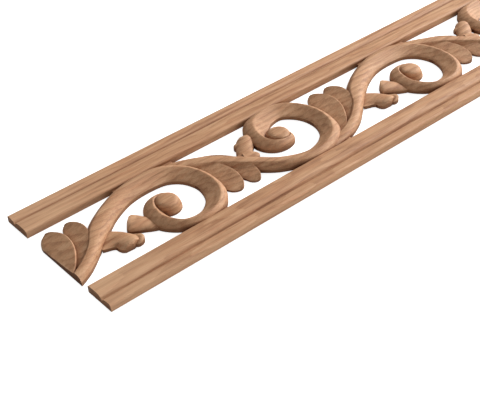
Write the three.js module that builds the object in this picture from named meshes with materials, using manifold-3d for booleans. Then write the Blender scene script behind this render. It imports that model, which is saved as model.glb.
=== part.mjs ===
// A pierced, carved wood trim: two moulded rails with a scrolling acanthus vine between them, all one board.
// It lies on its flat back: X runs along the trim, Y across it from the near rail, Z up out of the carving.
import * as THREE from 'three';
import { mergeVertices } from 'three/addons/utils/BufferGeometryUtils.js';
import Module from 'manifold-3d';

// Driving dimensions in millimetres
const trimWidth = 100;
const repeatLength = 194;
const repeatCount = 5;

// Rails: a raised outer moulding, a narrow quirk and a wider rounded bead towards the opening
const railWidth = 20;
const outerMouldingWidth = 7.4;
const outerMouldingHeight = 5.3;
const outerMouldingFall = 1.5;
const quirkWidth = 0.9;
const quirkHeight = 2.6;
const beadHeight = 5;
const beadShoulder = 1.3;
const beadInnerWall = 3.6;
const edgeRound = 0.8;

// Vine: heights above the back, and the widths that its strokes are drawn with
const stemWidth = 12.5;
const ridgeHeight = 6.4;
const footHeight = 2.3;
const leafRidgeHeight = 5.6;
const leafBaseHeight = 1.6;
const eyeHeight = 7;
const eyeRadius = 7.6;
const webHeight = 2.2;

// Facets
const scrollStations = 20;
const leafStations = 5;
const sprigStations = 2;
const eyeSides = 10;

const openingWidth = trimWidth - 2 * railWidth;
const trimLength = repeatLength * repeatCount;

const wasm = await Module();
wasm.setup();

// Sections are drawn as [share across, share of the rise from the foot wall to the ridge],
// from the stroke's high side to its low side.
// Along a scroll the rounded stem sharpens to a ridge, which nears the inner edge at the eye's collar.
const stemSection = [[0, 0.1], [0.23, 0.93], [0.62, 0.96], [1, 0]];
const crestSection = [[0, 0.1], [0.4, 1], [0.69, 0.45], [1, 0.1]];
const sideSection = [[0, 0.1], [0.3, 1], [0.62, 0.42], [1, 0]];
const collarSection = [[0, 0], [0.66, 1], [0.86, 0.6], [1, 0.1]];
const leafSection = [[0, 0.45], [0.14, 1], [0.5, 0.6], [1, 0]];
const sprigSection = [[0, 0.1], [0.5, 1], [1, 0.1]];
const eyeProfile = [[0.8, 0.76], [0.45, 0.98]];

// Middle lines are lists of [share along the repeat, share across the opening, share of the stem's width].
// The crest scroll climbs to the far rail and curls clockwise, the trough scroll mirrors it.
const crestScroll = [
  [-0.12, 0.08, 0.57], [-0.044, 0.115, 0.6], [0.033, 0.215, 0.53], [0.096, 0.374, 0.54], [0.149, 0.567, 0.92],
  [0.214, 0.722, 0.94], [0.291, 0.845, 1.05], [0.375, 0.888, 1.19], [0.441, 0.85, 1.156], [0.487, 0.708, 1.03],
  [0.508, 0.486, 0.87], [0.497, 0.27, 0.9], [0.458, 0.125, 0.9], [0.406, 0.075, 0.82], [0.347, 0.125, 0.82],
  [0.309, 0.272, 0.84], [0.308, 0.425, 0.8], [0.329, 0.54, 0.58], [0.352, 0.575, 0.4], [0.372, 0.575, 0.28],
  [0.392, 0.545, 0.2],
];
const troughScroll = [
  [0.419, 0.9, 0.57], [0.488, 0.856, 0.88], [0.557, 0.722, 0.96], [0.612, 0.547, 0.88], [0.664, 0.37, 0.83],
  [0.722, 0.195, 0.81], [0.81, 0.085, 0.8], [0.885, 0.12, 0.94], [0.9415, 0.253, 1.03], [0.9653, 0.443, 0.95],
  [0.963, 0.649, 0.96], [0.938, 0.811, 1.02], [0.8955, 0.9035, 0.98], [0.838, 0.893, 1.08], [0.795, 0.812, 1],
  [0.764, 0.69, 0.8], [0.754, 0.55, 0.74], [0.771, 0.448, 0.58], [0.803, 0.408, 0.4], [0.834, 0.435, 0.3],
  [0.847, 0.51, 0.22],
];
const risingLobes = [
  [[-0.05, 0.12, 0.35], [0.004, 0.358, 0.9], [0.034, 0.585, 1.16], [0.05, 0.756, 1.06], [0.063, 0.885, 0.34]],
  [[0, 0.187, 0.3], [0.06, 0.443, 0.86], [0.099, 0.628, 1.08], [0.115, 0.77, 0.88], [0.127, 0.872, 0.3]],
];
const fallingLobes = [
  [[0.47, 0.92, 0.3], [0.53, 0.73, 0.76], [0.556, 0.5, 1.06], [0.561, 0.322, 1], [0.566, 0.175, 0.34]],
  [[0.515, 0.874, 0.3], [0.583, 0.671, 0.76], [0.616, 0.457, 0.96], [0.627, 0.31, 0.72], [0.63, 0.17, 0.3]],
];
// Sprigs fill the gap between the stem and the eye's collar. Each is a line and the heights of its root and its end:
// two flared cups that face each other, their lips, a bud between them, and a short sprig at the other eye.
const sprigs = [
  [[[0.134, 0.43, 0.8], [0.158, 0.35, 0.82], [0.187, 0.24, 1]], 3.6, 5],
  [[[0.172, 0.27, 0.5], [0.157, 0.185, 0.36]], 4, 3.6],
  [[[0.185, 0.36, 0.45], [0.194, 0.44, 0.36]], 4, 3.6],
  [[[0.19, 0.27, 0.6], [0.206, 0.243, 0.62], [0.224, 0.226, 0.4]], 3.8, 4],
  [[[0.295, 0.385, 1], [0.265, 0.405, 0.85], [0.226, 0.445, 0.8]], 4.8, 5],
  [[[0.26, 0.44, 0.5], [0.25, 0.52, 0.3]], 4, 3.8],
  [[[0.664, 0.37, 0.5], [0.687, 0.44, 0.5], [0.709, 0.535, 0.4]], 4.4, 4.4],
  [[[0.692, 0.5, 0.4], [0.712, 0.6, 0.5], [0.74, 0.7, 0.52]], 4.4, 5],
  [[[0.728, 0.71, 0.6], [0.7, 0.702, 0.48], [0.668, 0.688, 0.2]], 4, 3.6],
];
const eyes = [[0.37, 0.455], [0.812, 0.552]];
// Webs: [start, end] of the low contact between a ring and a rail, at the far rail and at the near one
const farWebs = [[0.285, 0.5], [0.79, 0.925]];
const nearWebs = [[0.345, 0.475], [0.77, 0.965]];
const webReach = 0.09;

const along = (share) => share * repeatLength;
const across = (share) => railWidth + share * openingWidth;

function geometryFrom(points, triangles) {
  const geometry = new THREE.BufferGeometry();
  geometry.setAttribute('position', new THREE.Float32BufferAttribute(points.flat(), 3));
  geometry.setIndex(triangles);
  return geometry;
}

function solidOf(source) {
  const bare = source.clone();
  bare.deleteAttribute('normal');
  bare.deleteAttribute('uv');
  const merged = mergeVertices(bare, 1e-4);
  return new wasm.Manifold(new wasm.Mesh({
    numProp: 3,
    vertProperties: new Float32Array(merged.attributes.position.array),
    triVerts: new Uint32Array(merged.index.array),
  }));
}

function geometryOf(solid) {
  const mesh = solid.getMesh();
  const geometry = new THREE.BufferGeometry();
  geometry.setAttribute('position', new THREE.BufferAttribute(new Float32Array(mesh.vertProperties), 3));
  geometry.setIndex(new THREE.BufferAttribute(new Uint32Array(mesh.triVerts), 1));
  return geometry;
}

function joined(geometries) {
  return geometries.map(solidOf).reduce((whole, solid) => whole.add(solid));
}

function blendSections(from, to, share) {
  return from.map(([s, rise], i) => [
    THREE.MathUtils.lerp(s, to[i][0], share),
    THREE.MathUtils.lerp(rise, to[i][1], share),
  ]);
}

function scrollSection(t) {
  const rising = blendSections(stemSection, crestSection, THREE.MathUtils.smoothstep(t, 0.22, 0.38));
  const turning = blendSections(rising, sideSection, THREE.MathUtils.smoothstep(t, 0.38, 0.5));
  return blendSections(turning, collarSection, THREE.MathUtils.smoothstep(t, 0.64, 0.8));
}

// A carved stroke: a strip along its middle line, vertical at both sides, with its section on top.
// highSide is +1 where the ridge lies to the left of the way the line runs and -1 where it lies to the right.
function stroke(line, { stations, section, foot, ridge, highSide }) {
  const curve = new THREE.CatmullRomCurve3(
    line.map(([a, b, w]) => new THREE.Vector3(along(a), across(b), w * stemWidth / 2)),
  );
  const points = [];
  const triangles = [];
  const sectionAt = (t) => (typeof section === 'function' ? section(t) : section);
  const ring = sectionAt(0).length + 2;
  for (let i = 0; i <= stations; i++) {
    const t = i / stations;
    const middle = curve.getPoint(t);
    const run = curve.getTangent(t).setZ(0).normalize();
    const toLeft = new THREE.Vector3(-run.y, run.x, 0);
    const place = (share, height) => {
      const offset = middle.z * (1 - 2 * share) * highSide;
      points.push([middle.x + toLeft.x * offset, middle.y + toLeft.y * offset, height]);
    };
    place(0, 0);
    for (const [share, rise] of sectionAt(t)) place(share, foot(t) + (ridge(t) - foot(t)) * rise);
    place(1, 0);
  }
  const face = (a, b, c) => triangles.push(...(highSide > 0 ? [a, b, c] : [a, c, b]));
  for (let i = 0; i < stations; i++) {
    for (let k = 0; k < ring; k++) {
      const a = i * ring + k;
      const b = i * ring + (k + 1) % ring;
      face(a, b, b + ring);
      face(a, b + ring, a + ring);
    }
  }
  const last = stations * ring;
  for (let k = 1; k < ring - 1; k++) {
    face(0, k + 1, k);
    face(last, last + k, last + k + 1);
  }
  return geometryFrom(points, triangles);
}

function scroll(line, highSide) {
  const rises = (t) => THREE.MathUtils.smoothstep(t, 0, 0.15);
  const fades = (t) => THREE.MathUtils.smoothstep(t, 0.86, 1);
  return stroke(line, {
    stations: scrollStations,
    section: scrollSection,
    foot: () => footHeight,
    ridge: (t) => ridgeHeight * (0.6 + 0.4 * rises(t)) * (1 - 0.22 * fades(t)),
    highSide,
  });
}

function lobe(line, highSide) {
  const emerges = (t) => THREE.MathUtils.smoothstep(t, 0, 0.4);
  const droops = (t) => THREE.MathUtils.smoothstep(t, 0.62, 1.04);
  return stroke(line, {
    stations: leafStations,
    section: leafSection,
    foot: (t) => leafBaseHeight * (1 - 0.4 * droops(t)),
    ridge: (t) => leafRidgeHeight * (0.66 + 0.34 * emerges(t)) * (1 - 0.66 * droops(t)),
    highSide,
  });
}

function sprig([line, rootHeight, endHeight]) {
  return stroke(line, {
    stations: sprigStations,
    section: sprigSection,
    foot: () => footHeight,
    ridge: (t) => THREE.MathUtils.lerp(rootHeight, endHeight, t),
    highSide: 1,
  });
}

// The ball at the heart of a scroll, on a short vertical wall
function eye([a, b]) {
  const profile = [[0, 0], [1, 0], [1, footHeight / eyeHeight], ...eyeProfile, [0, 1]];
  const outline = profile.map(([r, z]) => new THREE.Vector2(r * eyeRadius, z * eyeHeight));
  return new THREE.LatheGeometry(outline, eyeSides).rotateX(Math.PI / 2).translate(along(a), across(b), 0);
}

function web([start, end], fromShare, toShare) {
  const box = new THREE.BoxGeometry(along(end - start), across(toShare) - across(fromShare), webHeight);
  box.translate(along((start + end) / 2), (across(fromShare) + across(toShare)) / 2, webHeight / 2);
  return box;
}

function repeatOfVine() {
  const bite = 0.02;
  return joined([
    scroll(crestScroll, 1),
    scroll(troughScroll, -1),
    ...risingLobes.map((line) => lobe(line, -1)),
    ...fallingLobes.map((line) => lobe(line, 1)),
    ...sprigs.map(sprig),
    ...eyes.map(eye),
    ...farWebs.map((span) => web(span, 1 - webReach, 1 + bite)),
    ...nearWebs.map((span) => web(span, -bite, webReach)),
  ]);
}

// The rail's profile is drawn across from the outer edge, then laid along X
function rail(isFar) {
  const beadStart = outerMouldingWidth + quirkWidth;
  const beadMiddle = (beadStart + railWidth) / 2;
  const outline = [
    [0, 0], [0, outerMouldingHeight - edgeRound], [edgeRound, outerMouldingHeight],
    [outerMouldingWidth * 0.6, outerMouldingHeight - outerMouldingFall * 0.35],
    [outerMouldingWidth, outerMouldingHeight - outerMouldingFall],
    [outerMouldingWidth, quirkHeight], [beadStart, quirkHeight],
    [beadStart, beadHeight - beadShoulder], [(beadStart + beadMiddle) / 2, beadHeight - beadShoulder * 0.25],
    [beadMiddle, beadHeight], [(beadMiddle + railWidth) / 2, beadHeight - beadShoulder * 0.35],
    [railWidth, beadInnerWall], [railWidth, 0],
  ];
  const shape = new THREE.Shape(
    outline.map(([y, z]) => new THREE.Vector2(isFar ? trimWidth - y : y, z)),
  );
  const bar = new THREE.ExtrudeGeometry(shape, { depth: trimLength, bevelEnabled: false });
  const layAlongX = new THREE.Matrix4().makeBasis(
    new THREE.Vector3(0, 1, 0), new THREE.Vector3(0, 0, 1), new THREE.Vector3(1, 0, 0),
  );
  return bar.applyMatrix4(layAlongX);
}

// One repeat is carved once and laid along the trim, with one more at each end for the square cuts
function carvedVine() {
  const pattern = geometryOf(repeatOfVine());
  const copies = [];
  for (let n = -1; n <= repeatCount; n++) copies.push(pattern.clone().translate(n * repeatLength, 0, 0));
  const board = new THREE.BoxGeometry(trimLength, trimWidth, 4 * eyeHeight);
  board.translate(trimLength / 2, trimWidth / 2, 0);
  return joined(copies).intersect(solidOf(board));
}

const carving = carvedVine().add(solidOf(rail(false))).add(solidOf(rail(true)));
const carvedTrim = new THREE.Mesh(
  geometryOf(carving),
  new THREE.MeshStandardMaterial({ color: 0xc89a76, roughness: 0.62, metalness: 0 }),
);
carvedTrim.name = 'carved_trim';
// The origin is the middle of the flat back
carvedTrim.position.set(-trimLength / 2, -trimWidth / 2, 0);

const part = new THREE.Group();
part.add(carvedTrim);

export default part;
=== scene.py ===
import math
import bpy
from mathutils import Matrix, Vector


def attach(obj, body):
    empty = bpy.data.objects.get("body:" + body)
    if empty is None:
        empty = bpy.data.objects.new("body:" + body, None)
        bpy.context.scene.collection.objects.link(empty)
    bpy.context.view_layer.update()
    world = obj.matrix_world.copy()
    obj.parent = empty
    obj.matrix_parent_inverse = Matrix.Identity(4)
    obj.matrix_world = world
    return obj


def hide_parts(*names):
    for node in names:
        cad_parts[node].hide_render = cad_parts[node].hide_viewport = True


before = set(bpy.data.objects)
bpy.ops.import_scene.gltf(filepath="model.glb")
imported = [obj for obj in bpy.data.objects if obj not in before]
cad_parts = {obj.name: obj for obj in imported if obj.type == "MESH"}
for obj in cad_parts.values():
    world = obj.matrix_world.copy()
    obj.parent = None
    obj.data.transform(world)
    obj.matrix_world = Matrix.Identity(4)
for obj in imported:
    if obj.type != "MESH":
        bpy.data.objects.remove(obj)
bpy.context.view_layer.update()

mm = 0.001

# The board: sizes in millimetres, as the CAD has them
board = {
    "width": 100, "repeat": 194, "repeats": 5,
    "railWidth": 20, "stemWidth": 12.5,
    "blankHeight": 20,  # of the block that the board is cut to, above any ridge
    "blankOverhang": 1,  # how much wider than the board that block is
    "softEdge": 34,  # degrees up to which an edge is shaded soft
}
boardLength = board["repeat"] * board["repeats"]
openingWidth = board["width"] - 2 * board["railWidth"]

# How every stroke of the carving starts and ends
carving = {
    "sink": 2,  # it runs this far below the back before it is cut off flat
    "endWidth": 0.02,  # share of its width that is left where its end is rounded
    "endRise": 0.35,  # share of its rise that is left there
}


def alongTrim(share):
    return share * board["repeat"] - boardLength / 2


def acrossTrim(share):
    return board["railWidth"] + share * openingWidth - board["width"] / 2


def smooth(value, low, high):
    t = min(max((value - low) / (high - low), 0), 1)
    return t * t * (3 - 2 * t)


def mixLists(one, other, share):
    return [(a + (c - a) * share, b + (d - b) * share) for (a, b), (c, d) in zip(one, other)]


# Object and edit mode steps that every piece uses
def selectOnly(*pieces):
    bpy.ops.object.select_all(action="DESELECT")
    for piece in pieces:
        piece.select_set(True)
    bpy.context.view_layer.objects.active = pieces[0]


def nameIt(name):
    piece = bpy.context.object
    piece.name = piece.data.name = name
    return piece


def pickFaces(piece, wanted):
    # leaves edit mode on, with only the wanted faces selected
    selectOnly(piece)
    bpy.context.tool_settings.mesh_select_mode = (False, False, True)
    bpy.ops.object.mode_set(mode="EDIT")
    bpy.ops.mesh.select_all(action="DESELECT")
    bpy.ops.object.mode_set(mode="OBJECT")
    for face in piece.data.polygons:
        face.select = wanted(face)
    bpy.ops.object.mode_set(mode="EDIT")


def backToObject():
    bpy.context.tool_settings.mesh_select_mode = (True, False, False)
    bpy.ops.object.mode_set(mode="OBJECT")


def applyPlace(piece):
    selectOnly(piece)
    bpy.ops.object.transform_apply(location=True, rotation=True, scale=True)


def addBlock(name, middle, sides):
    # middle and sides in millimetres
    bpy.ops.object.select_all(action="DESELECT")
    bpy.ops.mesh.primitive_cube_add(
        size=1, location=[v * mm for v in middle], scale=[v * mm for v in sides])
    block = nameIt(name)
    applyPlace(block)
    return block


def addGrid(name, stations, lanes):
    bpy.ops.object.select_all(action="DESELECT")
    bpy.ops.mesh.primitive_grid_add(
        x_subdivisions=stations, y_subdivisions=lanes, size=1, location=(0, 0, 0))
    return nameIt(name)


def closeBelow():
    # the active grid's rim is drawn down flat below the back, filled, and its faces turned outwards
    bpy.ops.object.mode_set(mode="EDIT")
    bpy.ops.mesh.select_all(action="SELECT")
    bpy.ops.mesh.region_to_loop()
    bpy.ops.mesh.extrude_edges_move()
    bpy.ops.transform.resize(value=(1, 1, 0), center_override=(0, 0, -carving["sink"] * mm))
    bpy.ops.mesh.edge_face_add()
    bpy.ops.mesh.select_all(action="SELECT")
    bpy.ops.mesh.normals_make_consistent(inside=False)
    bpy.ops.object.mode_set(mode="OBJECT")


def uniteWith(piece, others):
    # joins overlapping closed shapes into one skin
    tools = bpy.data.collections.new("shapesToUnite")
    bpy.context.scene.collection.children.link(tools)
    for other in others:
        for home in list(other.users_collection):
            home.objects.unlink(other)
        tools.objects.link(other)
    union = piece.modifiers.new("unite", "BOOLEAN")
    union.operation, union.solver = "UNION", "MANIFOLD"
    union.operand_type, union.collection = "COLLECTION", tools
    selectOnly(piece)
    bpy.ops.object.modifier_apply(modifier=union.name)
    for other in others:
        bpy.data.objects.remove(other)
    bpy.data.collections.remove(tools)
    return piece


def curvePoint(points, t):
    # a centripetal curve through the points: the place at t, and the way the curve runs there
    last = len(points) - 1
    start = min(int(t * last), last - 1)
    share = t * last - start
    p1, p2 = Vector(points[start]), Vector(points[start + 1])
    p0 = Vector(points[start - 1]) if start > 0 else 2 * p1 - p2
    p3 = Vector(points[start + 2]) if start + 2 <= last else 2 * p2 - p1
    d0, d1, d2 = [max((b - a).length, 1e-4) ** 0.5 for a, b in ((p0, p1), (p1, p2), (p2, p3))]
    out = ((p1 - p0) / d0 - (p2 - p0) / (d0 + d1) + (p2 - p1) / d1) * d1
    into = ((p2 - p1) / d1 - (p3 - p1) / (d1 + d2) + (p3 - p2) / d2) * d1
    a, b = 2 * p1 - 2 * p2 + out + into, -3 * p1 + 3 * p2 - 2 * out - into
    return ((a * share + b) * share + out) * share + p1, (3 * a * share + 2 * b) * share + out


def carveStroke(name, line, stations, section, foot, ridge, highSide, tip):
    # A grid is laid along the middle line with its lanes on the carved section. A line's points are
    # shares of the repeat, of the opening and of the stem's width. highSide is 1 where the section
    # starts to the left of the way the line runs, else -1. tip is where the end starts to round in.
    points = [(alongTrim(a), acrossTrim(b), w * board["stemWidth"] / 2) for a, b, w in line]
    lanes = len(section(0)) - 1
    stroke = addGrid(name, stations, lanes)
    for vertex in stroke.data.vertices:
        t, taper = vertex.co.x + 0.5, 1
        if t > tip:  # the end is a quarter turn, in steps that grow closer
            turn = (t - tip) / (1 - tip) * math.pi / 2
            t = tip + (1 - tip) * math.sin(turn)
            taper = max(math.cos(turn), carving["endWidth"])
        lane = round((vertex.co.y + 0.5) * lanes)
        place, run = curvePoint(points, t)
        run.z = 0
        run.normalize()
        share, rise = section(t)[lane]
        offset = place.z * taper * (1 - 2 * share) * highSide
        rise *= carving["endRise"] + (1 - carving["endRise"]) * taper
        height = foot(t) + (ridge(t) - foot(t)) * rise
        vertex.co = Vector((place.x - run.y * offset, place.y + run.x * offset, height)) * mm
    closeBelow()
    return stroke


# The vine's scrolls. Sections run from the outer edge to the inner one, each point being its share
# across and its share of the rise.
scrolls = {
    "ridge": 6.4, "foot": 2.3, "stations": 130, "tip": 0.985,
    "stem": [
        (0, 0), (0.02, 0.2), (0.06, 0.38), (0.11, 0.57), (0.16, 0.74), (0.2, 0.86),
        (0.225, 0.93), (0.25, 0.97), (0.3, 0.985), (0.4, 1), (0.5, 1), (0.62, 0.97),
        (0.74, 0.88), (0.86, 0.68), (0.95, 0.4), (1, 0),
    ],
    "crest": [
        (0, 0), (0.02, 0.24), (0.06, 0.46), (0.13, 0.66), (0.21, 0.81), (0.3, 0.925),
        (0.37, 0.985), (0.4, 1), (0.43, 0.97), (0.5, 0.88), (0.59, 0.74), (0.69, 0.57),
        (0.8, 0.4), (0.9, 0.25), (0.975, 0.12), (1, 0),
    ],
    "side": [
        (0, 0), (0.015, 0.24), (0.05, 0.45), (0.1, 0.64), (0.16, 0.81), (0.22, 0.93),
        (0.27, 0.99), (0.3, 1), (0.33, 0.97), (0.41, 0.86), (0.51, 0.72), (0.63, 0.55),
        (0.76, 0.38), (0.88, 0.22), (0.97, 0.1), (1, 0),
    ],
    "collar": [
        (0, 0), (0.02, 0.16), (0.07, 0.32), (0.16, 0.5), (0.29, 0.67), (0.44, 0.83),
        (0.59, 0.96), (0.65, 1), (0.69, 0.97), (0.74, 0.84), (0.79, 0.68), (0.84, 0.52),
        (0.89, 0.38), (0.94, 0.26), (0.98, 0.15), (1, 0),
    ],
    # where along the line each section turns into the next
    "stemToCrest": (0.2, 0.38), "crestToSide": (0.38, 0.5), "sideToCollar": (0.64, 0.8),
    # the ridge climbs from a share of its height at the root, and falls by a share at the eye
    "rootRise": 0.6, "climb": (0, 0.15), "eyeFall": 0.22, "fall": (0.86, 1),
    "crestLine": [
        (-0.12, 0.08, 0.57), (-0.044, 0.115, 0.6), (0.0315, 0.221, 0.6), (0.0945, 0.38, 0.62),
        (0.148, 0.572, 0.98), (0.2125, 0.728, 1.01), (0.291, 0.845, 1.05), (0.375, 0.888, 1.19),
        (0.441, 0.85, 1.156), (0.487, 0.708, 1.03), (0.506, 0.486, 0.94), (0.494, 0.276, 1.02),
        (0.457, 0.13, 0.95), (0.406, 0.069, 0.76), (0.346, 0.113, 0.69), (0.308, 0.27, 0.8),
        (0.307, 0.43, 0.82), (0.327, 0.546, 0.64), (0.351, 0.584, 0.48), (0.373, 0.588, 0.38),
        (0.394, 0.55, 0.22),
    ],
    "troughLine": [
        (0.419, 0.9, 0.57), (0.488, 0.856, 0.88), (0.557, 0.722, 0.96), (0.612, 0.547, 0.88),
        (0.664, 0.37, 0.83), (0.722, 0.195, 0.81), (0.81, 0.085, 0.8), (0.885, 0.12, 0.94),
        (0.9415, 0.253, 1.03), (0.9653, 0.443, 0.95), (0.963, 0.649, 0.96), (0.938, 0.811, 1.02),
        (0.8955, 0.9035, 0.98), (0.838, 0.893, 1.08), (0.791, 0.827, 1.25), (0.761, 0.7, 0.88),
        (0.754, 0.55, 0.74), (0.771, 0.448, 0.58), (0.803, 0.408, 0.4), (0.834, 0.435, 0.3),
        (0.847, 0.51, 0.22),
    ],
}


def scrollSection(t):
    rising = mixLists(scrolls["stem"], scrolls["crest"], smooth(t, *scrolls["stemToCrest"]))
    turning = mixLists(rising, scrolls["side"], smooth(t, *scrolls["crestToSide"]))
    return mixLists(turning, scrolls["collar"], smooth(t, *scrolls["sideToCollar"]))


def scrollRidge(t):
    climb = scrolls["rootRise"] + (1 - scrolls["rootRise"]) * smooth(t, *scrolls["climb"])
    return scrolls["ridge"] * climb * (1 - scrolls["eyeFall"] * smooth(t, *scrolls["fall"]))


def carveScroll(name, line, highSide):
    return carveStroke(name, line, scrolls["stations"], scrollSection,
                       lambda t: scrolls["foot"], scrollRidge, highSide, scrolls["tip"])


# Leaves: two lobes each, with a raised rim on the stem's side and a cupped face that falls to the ring
leaves = {
    "ridge": 5.6, "foot": 1.6, "stations": 44, "tip": 0.9,
    "section": [
        (0, 0.4), (0.015, 0.76), (0.035, 0.93), (0.06, 1), (0.09, 0.985), (0.14, 0.93), (0.22, 0.85),
        (0.34, 0.73), (0.5, 0.57), (0.65, 0.42), (0.8, 0.28), (0.92, 0.15), (1, 0),
    ],
    # the ridge climbs from a share of its height at the root, and ridge and foot droop at the end
    "rootRise": 0.66, "climb": (0, 0.4), "droop": (0.62, 1.04), "footDroop": 0.4, "ridgeDroop": 0.42,
    "rising": [
        [(-0.05, 0.12, 0.35), (0.004, 0.358, 0.9), (0.032, 0.585, 1.16),
         (0.036, 0.762, 1.02), (0.038, 0.9, 0.3)],
        [(0, 0.187, 0.3), (0.06, 0.443, 0.86), (0.096, 0.628, 1.06),
         (0.103, 0.77, 0.86), (0.101, 0.89, 0.28)],
    ],
    "falling": [
        [(0.47, 0.92, 0.3), (0.53, 0.73, 0.76), (0.556, 0.5, 1.06),
         (0.561, 0.322, 1.08), (0.566, 0.175, 0.6)],
        [(0.515, 0.874, 0.3), (0.583, 0.671, 0.76), (0.616, 0.457, 0.96),
         (0.627, 0.31, 0.82), (0.63, 0.17, 0.52)],
    ],
}


def lobeFoot(t):
    return leaves["foot"] * (1 - leaves["footDroop"] * smooth(t, *leaves["droop"]))


def lobeRidge(t):
    climb = leaves["rootRise"] + (1 - leaves["rootRise"]) * smooth(t, *leaves["climb"])
    return leaves["ridge"] * climb * (1 - leaves["ridgeDroop"] * smooth(t, *leaves["droop"]))


def carveLobe(name, line, highSide):
    return carveStroke(name, line, leaves["stations"], lambda t: leaves["section"],
                       lobeFoot, lobeRidge, highSide, leaves["tip"])


# Sprigs: two flared cups that face each other with a bud between them, and a cup with a lobe on
# each side at the other eye. Each is its line, its heights at the root and the end, and its tip.
sprigs = {
    "foot": 2.1, "stations": 16,
    "section": [
        (0, 0), (0.03, 0.3), (0.1, 0.56), (0.22, 0.82), (0.36, 0.96), (0.5, 1),
        (0.64, 0.96), (0.78, 0.82), (0.9, 0.56), (0.97, 0.3), (1, 0),
    ],
    "strokes": [
        ([(0.134, 0.45, 1.2), (0.161, 0.403, 1.1), (0.178, 0.34, 1.0),
          (0.185, 0.265, 1.06), (0.188, 0.19, 0.9)], 1.8, 5.8, 0.9),
        ([(0.19, 0.3, 0.66), (0.206, 0.268, 0.7),
          (0.217, 0.237, 0.7), (0.227, 0.205, 0.64)], 1.2, 4.8, 0.6),
        ([(0.3, 0.3, 0.7), (0.28, 0.34, 0.76), (0.262, 0.395, 0.92),
          (0.245, 0.445, 1.12), (0.23, 0.49, 1.16)], 3, 5.8, 0.9),
        ([(0.656, 0.43, 0.8), (0.671, 0.53, 0.74), (0.692, 0.62, 0.8),
          (0.715, 0.7, 0.88), (0.742, 0.77, 0.7)], 2.4, 5.6, 0.85),
        ([(0.706, 0.67, 0.6), (0.692, 0.71, 0.5), (0.676, 0.704, 0.25)], 4.2, 3, 0.6),
        ([(0.665, 0.53, 0.6), (0.69, 0.5, 0.6), (0.711, 0.46, 0.45)], 4, 3.4, 0.6),
    ],
}


def carveSprig(name, line, rootHeight, endHeight, tip):
    return carveStroke(name, line, sprigs["stations"], lambda t: sprigs["section"],
                       lambda t: sprigs["foot"],
                       lambda t: rootHeight + (endHeight - rootHeight) * t, 1, tip)


# Eyes: a ball on a low seat, at the heart of each scroll
eyes = {
    "places": [(0.363, 0.458), (0.81, 0.548)],
    "radius": 8.3, "wall": 1.2, "sides": 40,
    # steps inwards and upwards from the top of the wall
    "steps": [(0.4, 1.4), (0.5, 1.4), (0.6, 1.2), (0.7, 0.9), (0.9, 0.5), (1.2, 0.27), (1.3, 0.1)],
}


def carveEye(name, share):
    depth = carving["sink"] + eyes["wall"]
    middle = (alongTrim(share[0]), acrossTrim(share[1]), eyes["wall"] - depth / 2)
    bpy.ops.object.select_all(action="DESELECT")
    bpy.ops.mesh.primitive_cylinder_add(
        vertices=eyes["sides"], radius=eyes["radius"] * mm, depth=depth * mm,
        location=[v * mm for v in middle])
    ball = nameIt(name)
    applyPlace(ball)
    pickFaces(ball, lambda face: face.normal.z > 0.9)  # the top
    for inwards, upwards in eyes["steps"]:
        bpy.ops.mesh.inset(thickness=inwards * mm, depth=upwards * mm)
    backToObject()
    return ball


# Webs: the low wood that is left between a ring and a rail
webs = {
    "height": 2.2, "softness": 0.5,
    "reach": 0.09, "bite": 0.02,  # shares of the opening, out from the rail and into it
    "far": [(0.285, 0.5), (0.79, 0.925)], "near": [(0.345, 0.475), (0.77, 0.965)],
}


def carveWeb(name, span, low, high):
    x0, x1, y0, y1 = alongTrim(span[0]), alongTrim(span[1]), acrossTrim(low), acrossTrim(high)
    z0, z1 = -carving["sink"], webs["height"]
    web = addBlock(name, ((x0 + x1) / 2, (y0 + y1) / 2, (z0 + z1) / 2), (x1 - x0, y1 - y0, z1 - z0))
    bpy.ops.object.mode_set(mode="EDIT")
    bpy.ops.mesh.select_all(action="SELECT")
    bpy.ops.mesh.bevel(offset=webs["softness"] * mm, segments=2, affect="EDGES")
    bpy.ops.object.mode_set(mode="OBJECT")
    return web


# One repeat of the vine
vineShapes = [
    carveScroll("crestScroll", scrolls["crestLine"], 1),
    carveScroll("troughScroll", scrolls["troughLine"], -1),
]
vineShapes += [carveLobe("risingLobe", line, -1) for line in leaves["rising"]]
vineShapes += [carveLobe("fallingLobe", line, 1) for line in leaves["falling"]]
vineShapes += [carveSprig("sprig", *stroke) for stroke in sprigs["strokes"]]
vineShapes += [carveEye("eye", place) for place in eyes["places"]]
vineShapes += [carveWeb("farWeb", span, 1 - webs["reach"], 1 + webs["bite"]) for span in webs["far"]]
vineShapes += [carveWeb("nearWeb", span, -webs["bite"], webs["reach"]) for span in webs["near"]]
vine = uniteWith(vineShapes[0], vineShapes[1:])
vine.name = "vineRepeat"
print("vine repeat:", len(vine.data.polygons), "faces")

# Rails: the profile is (from the outer edge, height), laid along the trim
rails = {
    "profile": [
        (0, 0), (0, 3.1), (0.15, 3.75), (0.5, 4.2), (1, 4.48), (1.6, 4.58), (2.6, 4.55),
        (4.2, 4.38), (5.6, 4.05), (6.6, 3.66), (7.1, 3.2), (7.4, 2.6), (7.8, 2.3), (8.15, 2.6),
        (8.45, 3.3), (9, 3.95), (9.9, 4.5), (11, 4.85), (12.6, 5), (14.2, 5), (15.8, 4.97),
        (17.2, 4.92), (18.3, 4.84), (19.1, 4.72), (19.7, 4.5), (20.15, 4.15), (20.4, 3.7), (20.4, 2.6),
    ],
    "stationsInRepeat": 4,
    "overrun": 4,  # length that the square cuts take off
}


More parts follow.
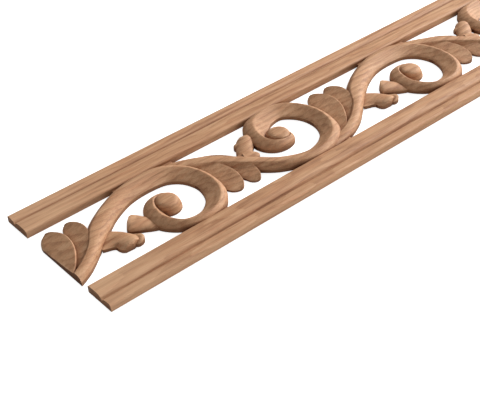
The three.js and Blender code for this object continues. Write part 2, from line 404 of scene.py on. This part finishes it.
def layRail(name, side):
    profile = rails["profile"]
    lanes = len(profile) - 1
    rail = addGrid(name, board["repeats"] * rails["stationsInRepeat"], lanes)
    for vertex in rail.data.vertices:
        inwards, height = profile[round((vertex.co.y + 0.5) * lanes)]
        along = vertex.co.x * (boardLength + rails["overrun"])
        vertex.co = Vector((along, (board["width"] / 2 - inwards) * side, height)) * mm
    closeBelow()
    return rail


def repeatVine():
    # one more repeat at each end, for the square cuts to pass through
    copies = []
    for n in range(-1, board["repeats"] + 1):
        copy = vine.copy()
        copy.data = vine.data.copy()
        bpy.context.scene.collection.objects.link(copy)
        copy.location.x = n * board["repeat"] * mm
        applyPlace(copy)
        copies.append(copy)
    bpy.data.objects.remove(vine)
    return copies


def cutSquare(piece):
    # the sunk feet and the overrun ends come off, and the back and ends are left flat and closed
    height = board["blankHeight"]
    blank = addBlock("blank", (0, 0, height / 2),
                     (boardLength, board["width"] + board["blankOverhang"], height))
    cut = piece.modifiers.new("cut", "BOOLEAN")
    cut.operation, cut.object, cut.solver = "INTERSECT", blank, "MANIFOLD"
    selectOnly(piece)
    bpy.ops.object.modifier_apply(modifier=cut.name)
    bpy.data.objects.remove(blank)


carvedBoard = uniteWith(layRail("carvedBoard", 1), [layRail("nearRail", -1), *repeatVine()])
cutSquare(carvedBoard)
selectOnly(carvedBoard)
bpy.ops.object.mode_set(mode="EDIT")
bpy.ops.mesh.select_all(action="SELECT")
bpy.ops.mesh.quads_convert_to_tris()
bpy.ops.object.mode_set(mode="OBJECT")
bpy.ops.object.shade_smooth_by_angle(angle=math.radians(board["softEdge"]))
print("carved board:", len(carvedBoard.data.polygons), "triangles")


# Shader maths: a Wire wraps a socket, and a ShaderTree makes nodes
class Wire:
    def __init__(self, tree, socket):
        self.tree, self.socket = tree, socket

    def maths(self, operation, first, second):
        return self.tree.node("ShaderNodeMath", {"operation": operation}, {0: first, 1: second})

    def __add__(self, other):
        return self.maths("ADD", self, other)

    __radd__ = __add__

    def __sub__(self, other):
        return self.maths("SUBTRACT", self, other)

    def __rsub__(self, other):
        return self.maths("SUBTRACT", other, self)

    def __mul__(self, other):
        return self.maths("MULTIPLY", self, other)

    __rmul__ = __mul__

    def __truediv__(self, other):
        return self.maths("DIVIDE", self, other)

    def __rtruediv__(self, other):
        return self.maths("DIVIDE", other, self)


class ShaderTree:
    def __init__(self, owner):
        # owner is a material or a world
        owner.use_nodes = True
        self.owner = owner
        self.nodes, self.links = owner.node_tree.nodes, owner.node_tree.links
        self.nodes.clear()

    def node(self, kind, settings=None, inputs=None, output=0):
        made = self.nodes.new(kind)
        for key, value in (settings or {}).items():
            if key == "stops":
                ramp = made.color_ramp
                while len(ramp.elements) < len(value):
                    ramp.elements.new(0.5)
                for element, (place, colour) in zip(ramp.elements, value):
                    element.position, element.color = place, colour
            else:
                setattr(made, key, value)
        for key, value in (inputs or {}).items():
            if isinstance(value, Wire):
                self.links.new(value.socket, made.inputs[key])
            else:
                made.inputs[key].default_value = value
        return Wire(self, made.outputs[output])

    def finish(self, surface, kind="ShaderNodeOutputMaterial"):
        end = self.nodes.new(kind)
        self.links.new(surface.socket, end.inputs["Surface"])
        return self.owner


beech = {
    "pale": (0.66, 0.395, 0.225, 1), "middle": (0.53, 0.285, 0.15, 1),
    "dark": (0.315, 0.142, 0.068, 1), "rubbed": (0.72, 0.46, 0.28, 1),
    # colours that darken what is under them
    "blush": (1.0, 0.84, 0.78, 1), "fleck": (0.6, 0.42, 0.3, 1), "shadeAndDust": (0.4, 0.25, 0.17, 1),
    "endGrain": (0.55, 0.46, 0.4, 1), "wallShade": (0.6, 0.5, 0.42, 1),
    # their greatest shares; the painted shade and dust in the hollows is weaker on the planed rails
    # than on the vine
    "blushShare": 0.5, "fleckShare": 0.3, "rubbedShare": 0.35, "shadeAndDustShare": 0.85, "railShadeAndDust": 0.6,
    "wallShadeShare": 0.85,
    # growth rings, in millimetres, about a line under the board
    "ringWidth": 2.6, "ringCentre": (0.0, 46.0, 95.0), "ringSway": 9, "ringFlutter": 1.6,
    # the tone runs from pale at 0.1 to dark at 1: where it starts, and how far each pattern moves it
    "ground": 0.4, "lateWood": 0.25,
    "layers": {"tone": 1.1, "streak": 0.9, "fibre": 0.6, "fineFibre": 0.3},
    # the readings between which each mask turns
    "ranges": {
        "lateWood": (0.25, 1.0), "earlyWood": (0.97, 1.0), "blush": (0.45, 0.7), "pore": (0.1, 0.26),
        "edge": (0.515, 0.58), "shelter": (0.25, 0.95), "upright": (0.05, 0.3), "sawn": (0.985, 0.998),
    },
    "vineMargin": (0.7, 0.45),  # millimetres inside the opening where the vine gives way to the rails
    # patterns: features to the millimetre along the grain and across it, then detail and roughness
    "patterns": {
        "sway": (0.004, 0.012, 2.0, 0.5), "flutter": (0.014, 0.09, 2.0, 0.5),
        "tone": (0.006, 0.07, 3.0, 0.5), "streak": (0.01, 0.55, 3.0, 0.5),
        "fibre": (0.03, 1.6, 4.0, 0.6), "fineFibre": (0.1, 5.0, 3.0, 0.6),
        "blush": (0.009, 0.13, 2.0, 0.5), "ripple": (0.75, 0.9, 2.0, 0.5),
        "pore": (0.3, 2.4), "gouge": (0.3, 0.42),
    },
    "shelterReach": 5,  # millimetres within which wood shelters a hollow
    # relief that is too fine to model
    "bump": 0.5, "bumpDepth": 0.6,
    "gougeDepth": 0.5, "rippleDepth": 0.35,
    "fibreDepth": 0.16, "fineFibreDepth": 0.1, "poreDepth": 0.12,
    "roughness": 0.58, "fibreRoughness": 0.22, "poreRoughness": 0.08, "specular": 0.3,
}


def makeBeech():
    wood = ShaderTree(bpy.data.materials.new("rawBeech"))
    place = wood.node("ShaderNodeTexCoord", output="Object")

    def laid(name):
        # places stretched to a pattern's features
        along, across = beech["patterns"][name][:2]
        return wood.node("ShaderNodeMapping", {}, {
            "Vector": place, "Scale": (along / mm, across / mm, across / mm)})

    def noise(name):
        detail, rough = beech["patterns"][name][2:]
        return wood.node("ShaderNodeTexNoise", {}, {
            "Vector": laid(name), "Detail": detail, "Roughness": rough})

    def cells(name, feature, **inputs):
        return wood.node("ShaderNodeTexVoronoi", {"feature": feature}, {
            "Vector": laid(name), **inputs}, "Distance")

    def between(value, span, start=0.0, end=1.0, how="SMOOTHSTEP"):
        return wood.node("ShaderNodeMapRange", {"interpolation_type": how}, {
            "Value": value, "From Min": span[0], "From Max": span[1], "To Min": start, "To Max": end})

    def blended(factor, one, other, how="MIX"):
        return wood.node("ShaderNodeMix", {"data_type": "RGBA", "blend_type": how}, {
            0: factor, 6: one, 7: other}, 2)

    def single(operation, value):
        return wood.node("ShaderNodeMath", {"operation": operation}, {0: value})

    def facing(axis):
        # 1 where a face looks along the axis, 0 where it stands along it
        faceWay = wood.node("ShaderNodeNewGeometry", output="True Normal")
        return single("ABSOLUTE", wood.node("ShaderNodeSeparateXYZ", {}, {"Vector": faceWay}, axis))

    ranges = beech["ranges"]
    # growth rings: wide arcs that sway a little along the board
    centred = wood.node("ShaderNodeMapping", {}, {
        "Vector": place, "Location": beech["ringCentre"], "Scale": (0, 1 / mm, 1 / mm)})
    radius = wood.node("ShaderNodeVectorMath", {"operation": "LENGTH"}, {0: centred}, "Value")
    swayed = radius + noise("sway") * beech["ringSway"] + noise("flutter") * beech["ringFlutter"]
    ring = single("FRACT", swayed / beech["ringWidth"])
    lateWood = between(ring, ranges["lateWood"], how="SMOOTHERSTEP")
    lateWood = lateWood * between(ring, ranges["earlyWood"], 1.0, 0.0)

    layers = {name: noise(name) for name in beech["layers"]}
    fibre, fineFibre = layers["fibre"], layers["fineFibre"]
    depth = lateWood * beech["lateWood"]
    for name, share in beech["layers"].items():
        depth = depth + (layers[name] - 0.5) * share
    colour = wood.node("ShaderNodeValToRGB", {"stops": [
        (0.1, beech["pale"]), (0.5, beech["middle"]), (1, beech["dark"])]}, {
        "Fac": depth + beech["ground"]})
    blush = between(noise("blush"), ranges["blush"], 0.0, beech["blushShare"])
    blushed = blended(blush, colour, beech["blush"], "MULTIPLY")
    pores = between(cells("pore", "F1"), ranges["pore"], 1.0, 0.0)
    flecked = blended(pores * beech["fleckShare"], blushed, beech["fleck"], "MULTIPLY")

    # rubbed edges are pale, and the hollows are painted darker: painted shade, with some dust
    edge = wood.node("ShaderNodeNewGeometry", output="Pointiness")
    worn = between(edge, ranges["edge"], 0.0, beech["rubbedShare"])
    rubbed = blended(worn, flecked, beech["rubbed"])
    sideways = wood.node("ShaderNodeSeparateXYZ", {}, {"Vector": place}, "Y")
    margin = [(openingWidth / 2 - v) * mm for v in beech["vineMargin"]]
    onVine = between(single("ABSOLUTE", sideways), margin, 1.0, 0.0)
    shelter = wood.node("ShaderNodeAmbientOcclusion", {"samples": 8}, {
        "Distance": beech["shelterReach"] * mm}, "AO")
    # painted shade: hollows that the wood shelters are darkened in the colour, standing for shade with
    # some dust
    shadeAndDustMask = between(shelter, ranges["shelter"], beech["shadeAndDustShare"], 0.0)
    shadeAndDustMask = shadeAndDustMask * (onVine * (1 - beech["railShadeAndDust"]) + beech["railShadeAndDust"])
    shadedAndDusty = blended(shadeAndDustMask, rubbed, beech["shadeAndDust"], "MULTIPLY")

    # the fretted walls of the vine are painted darker, as painted shade, and the sawn ends show darker
    # end grain
    upright = between(facing("Z"), ranges["upright"], beech["wallShadeShare"], 0.0)
    # painted shade on the vine's upright walls
    shadedWalls = blended(upright * onVine, shadedAndDusty, beech["wallShade"], "MULTIPLY")
    sawn = between(facing("X"), ranges["sawn"])
    endFace = blended(sawn, shadedWalls, beech["endGrain"], "MULTIPLY")

    # the gouge leaves shallow ripples on the vine, the rails are planed
    gouge = cells("gouge", "SMOOTH_F1", Smoothness=0.6)
    tooled = gouge * beech["gougeDepth"] + noise("ripple") * beech["rippleDepth"]
    relief = tooled * onVine + fibre * beech["fibreDepth"] + fineFibre * beech["fineFibreDepth"]
    bumped = wood.node("ShaderNodeBump", {}, {
        "Strength": beech["bump"], "Distance": beech["bumpDepth"] * mm,
        "Height": relief - pores * beech["poreDepth"]})
    sheen = (fibre - 0.5) * beech["fibreRoughness"] + beech["roughness"]
    return wood.finish(wood.node("ShaderNodeBsdfPrincipled", {}, {
        "Base Color": endFace, "Roughness": sheen + pores * beech["poreRoughness"],
        "Normal": bumped, "Specular IOR Level": beech["specular"]}))


carvedBoard.data.materials.clear()
carvedBoard.data.materials.append(makeBeech())
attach(carvedBoard, "root")
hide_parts("carved_trim")
print("beech ready")

# The studio: a pale floor that the camera sees evenly lit, a soft key from the right, a low fill
# from the front and a dim room
studio = {
    "floorSize": 12, "floorDrop": 0.0004, "floorTone": 0.86, "floorBounce": (0.75, 0.73, 0.71, 1),
    "aim": (-0.3, 0, 0), "lampSize": 0.75,
    "keyFrom": (0.866, 0, 0.5), "keyReach": 2, "keyEnergy": 56,
    "fillFrom": (0, -1, 0.07), "fillReach": 1.5, "fillEnergy": 7,
    "room": 0.3,
    "cameraPlace": (-0.6634, -0.39531, 0.35214), "cameraTurn": (52.309, 3.735, -40.122),
    "lens": 79.29, "sensor": 36, "nearest": 0.01,
}


def layFloor():
    bpy.ops.object.select_all(action="DESELECT")
    bpy.ops.mesh.primitive_plane_add(size=studio["floorSize"], location=(0, 0, -studio["floorDrop"]))
    floor = nameIt("floor")
    applyPlace(floor)
    paper = ShaderTree(bpy.data.materials.new("paleFloor"))
    seen = paper.node("ShaderNodeLightPath", output="Is Camera Ray")
    floor.data.materials.append(paper.finish(paper.node("ShaderNodeBsdfPrincipled", {}, {
        "Base Color": studio["floorBounce"], "Roughness": 0.9, "Specular IOR Level": 0.0,
        "Emission Color": seen * studio["floorTone"], "Emission Strength": 1.0})))


def hangLamp(name):
    comesFrom = Vector(studio[name + "From"])
    bpy.ops.object.light_add(
        type="AREA", location=Vector(studio["aim"]) + comesFrom * studio[name + "Reach"],
        rotation=comesFrom.to_track_quat("Z", "Y").to_euler())
    lamp = bpy.context.object
    lamp.name = name + "Light"
    lamp.data.energy, lamp.data.size = studio[name + "Energy"], studio["lampSize"]


def dimRoom():
    room = bpy.data.worlds.new("room")
    bpy.context.scene.world = room
    air = ShaderTree(room)
    seen = air.node("ShaderNodeLightPath", output="Is Camera Ray")
    air.finish(air.node("ShaderNodeBackground", {}, {
        "Color": seen * (1 - studio["room"]) + studio["room"], "Strength": 1.0}),
        "ShaderNodeOutputWorld")


def placeCamera():
    turn = [math.radians(v) for v in studio["cameraTurn"]]
    bpy.ops.object.camera_add(location=studio["cameraPlace"], rotation=turn)
    camera = bpy.context.object
    camera.name = "photoCamera"
    camera.data.lens, camera.data.sensor_width = studio["lens"], studio["sensor"]
    camera.data.clip_start = studio["nearest"]
    bpy.context.scene.camera = camera
    bpy.context.scene.view_settings.view_transform = "Standard"


layFloor()
hangLamp("key")
hangLamp("fill")
dimRoom()
placeCamera()
print("studio ready")
